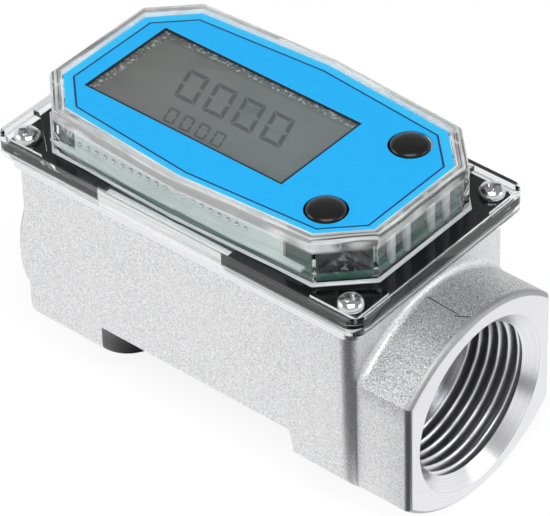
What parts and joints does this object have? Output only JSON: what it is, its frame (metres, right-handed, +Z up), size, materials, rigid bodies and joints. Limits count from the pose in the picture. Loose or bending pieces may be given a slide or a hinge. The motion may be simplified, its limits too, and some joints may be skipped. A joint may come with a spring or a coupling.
{
  "type": "turbine flow meter",
  "caption": "Inline turbine flow meter: cast housing with threaded ports, bladed rotor in the bore, battery counter with display and push buttons under a clear screwed cover.",
  "frame": {"origin": "under the middle of the meter, level with the flats that it rests on", "axes": "+X along the flow axis towards the long flat-sided port, +Z up through the display, +Y across"},
  "size_m": [0.0952, 0.048, 0.0606],
  "materials": {
    "cast_aluminium": "fine cast grain, satin machined port face",
    "seal_rubber": "matte black",
    "clear_plastic": "clear polycarbonate",
    "label_film": "satin printed film",
    "lcd_glass": "grey liquid-crystal glass",
    "black_plastic": "moulded black",
    "pale_plastic": "pale moulded frame",
    "strip_rubber": "matte grey elastomer",
    "board_laminate": "green solder mask",
    "bright_steel": "bright plated",
    "button_rubber": "glossy black dome",
    "battery_steel": "plain dark jacket",
    "flex_film": "amber polyimide",
    "rotor_plastic": "white acetal",
    "support_plastic": "dark glass-filled nylon",
    "bush_brass": "turned",
    "spring_steel": "spring steel"
  },
  "bodies": {
    "housing": {"battery_holder": "black_plastic", "board_screws": "bright_steel", "circuit_board": "board_laminate", "clear_cover": "clear_plastic", "controller_chip": "black_plastic", "cover_screws": "bright_steel", "cover_seal": "seal_rubber", "display_switch": "black_plastic", "face_label": "label_film", "far_battery": "battery_steel", "far_contact_strip": "strip_rubber", "inlet_bush": "bush_brass", "inlet_snap_ring": "spring_steel", "inlet_support": "support_plastic", "inlet_thrust_washer": "bush_brass", "lcd_glass": "lcd_glass", "lcd_holder": "pale_plastic", "left_battery_contact": "bright_steel", "meter_body": "cast_aluminium", "near_battery": "battery_steel", "near_contact_strip": "strip_rubber", "outlet_bush": "bush_brass", "outlet_snap_ring": "spring_steel", "outlet_support": "support_plastic", "outlet_thrust_washer": "bush_brass", "pickup_flex": "flex_film", "pickup_sensor": "black_plastic", "right_battery_contact": "bright_steel", "sensor_plug": "black_plastic", "setting_switch": "black_plastic", "timing_crystal": "bright_steel"},
    "rotor": {"turbine_rotor": "rotor_plastic", "rotor_shaft": "bright_steel", "rotor_magnets": "bright_steel"},
    "display_key": {"display_button": "button_rubber", "display_plunger": "black_plastic"},
    "setting_key": {"setting_button": "button_rubber", "setting_plunger": "black_plastic"}
  },
  "joints": [
    {"name": "rotor_spin", "type": "hinge", "parent": "housing", "child": "rotor", "pos_m": [0.006, 0, 0.0205], "axis": [1, 0, 0], "continuous": true},
    {"name": "display_press", "type": "slide", "parent": "housing", "child": "display_key", "axis": [0, 0, -1], "range_m": [0, 0.0006], "stiffness_N_per_m": 1500, "springref_m": -0.0004},
    {"name": "setting_press", "type": "slide", "parent": "housing", "child": "setting_key", "axis": [0, 0, -1], "range_m": [0, 0.0006], "stiffness_N_per_m": 1500, "springref_m": -0.0004}
  ]
}
